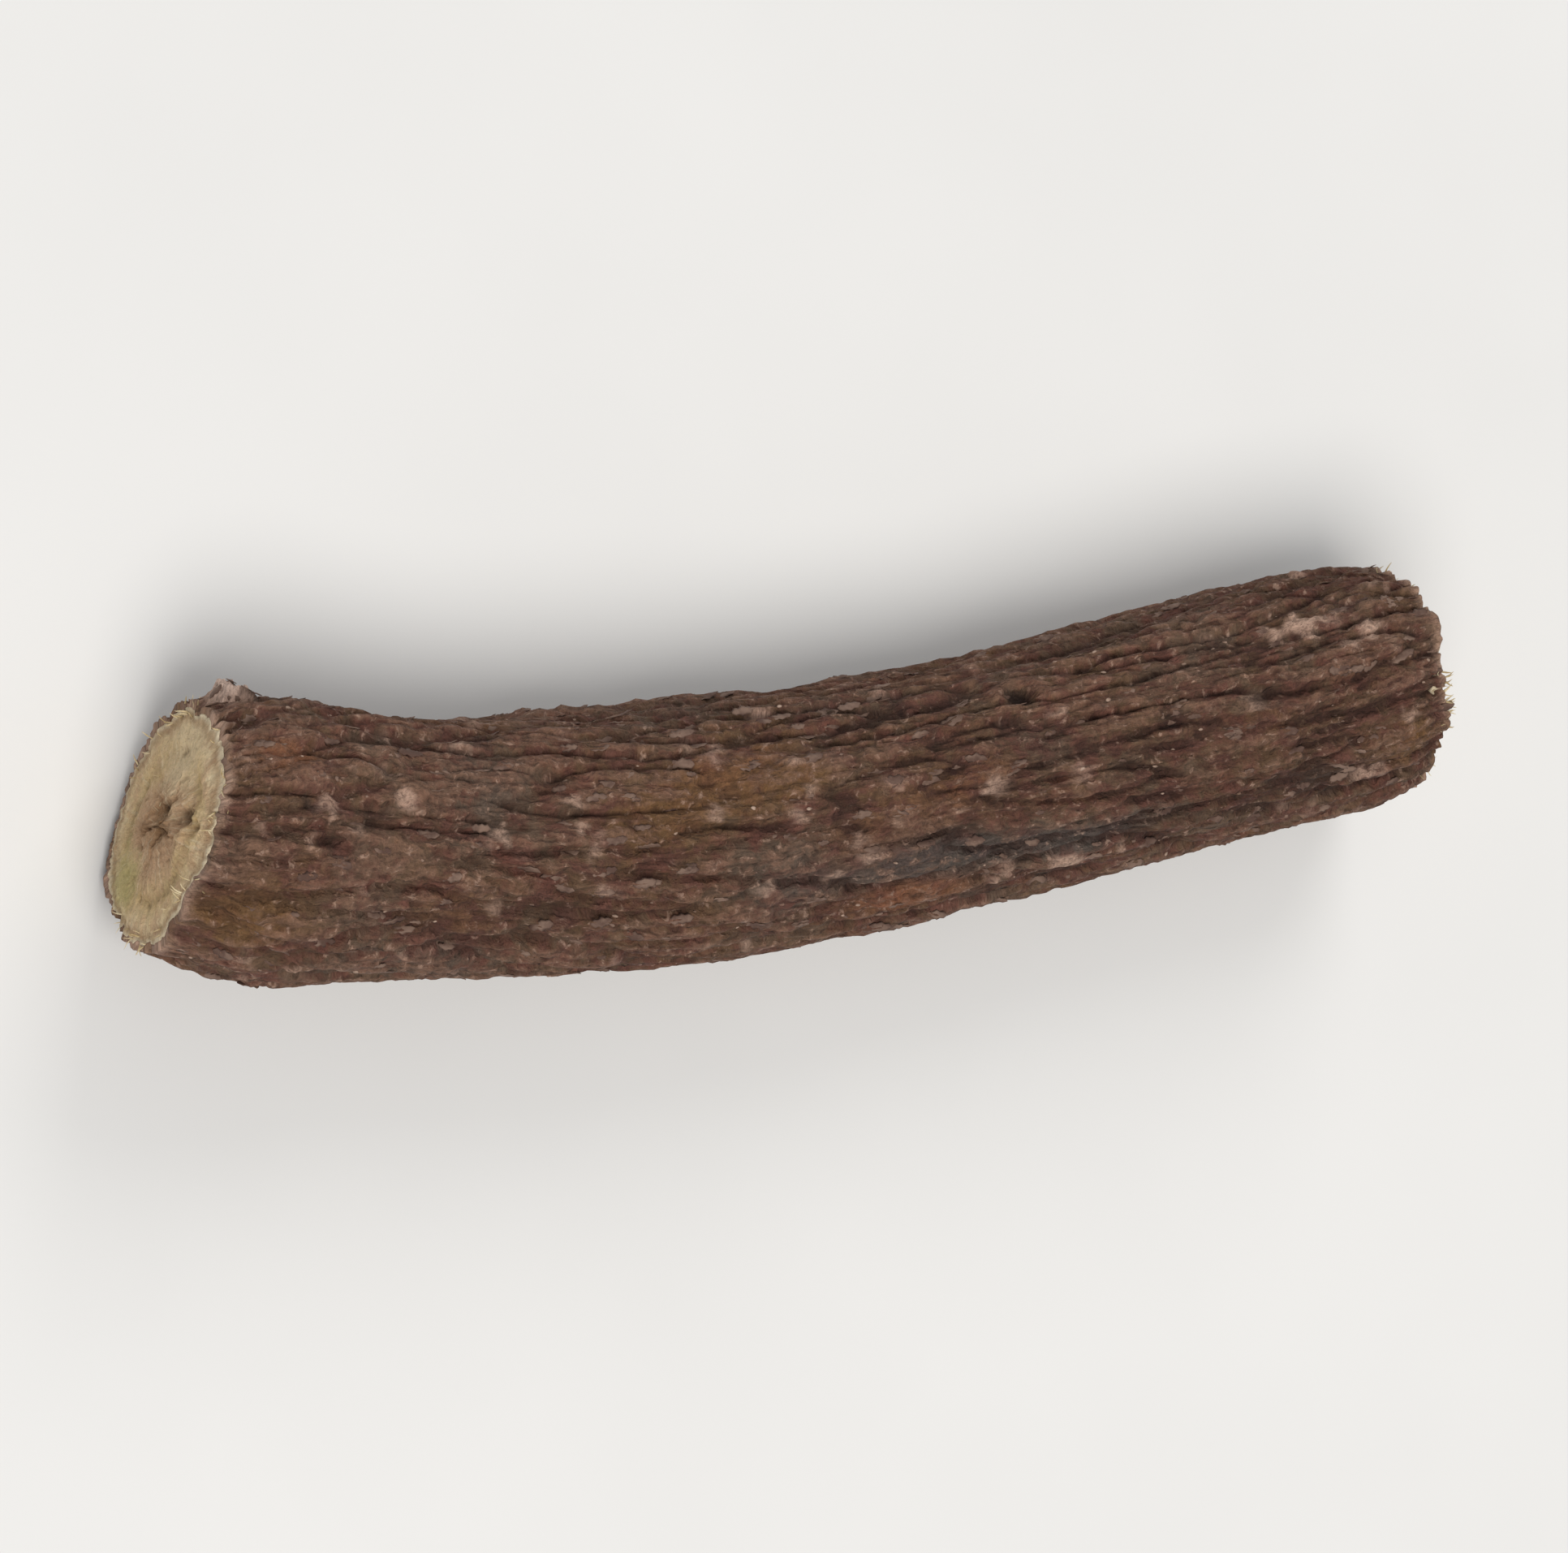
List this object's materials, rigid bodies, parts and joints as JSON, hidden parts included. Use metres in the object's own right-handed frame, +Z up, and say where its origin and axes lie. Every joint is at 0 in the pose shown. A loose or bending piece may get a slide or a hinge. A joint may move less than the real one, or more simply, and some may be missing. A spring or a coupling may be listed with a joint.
{
  "type": "licorice root",
  "caption": "Cut piece of unpeeled licorice root, a little bent, with wrinkled purple-brown bark and a pale fibrous cut face at each end; chewed, brewed or used as a spice.",
  "frame": {"origin": "on the surface that the root lies on, under the middle of its bounding box", "axes": "+X along the root, from its thick end to its thin end; +Y to the hollow side of its bend; +Z up, away from the surface"},
  "size_m": [0.0742, 0.0174, 0.0149],
  "materials": {
    "bark": "matte, rough, wrinkled bark",
    "cut_wood": "matte, fibrous cut wood"
  },
  "bodies": {
    "root": {"licorice_root": "bark"}
  },
  "joints": []
}
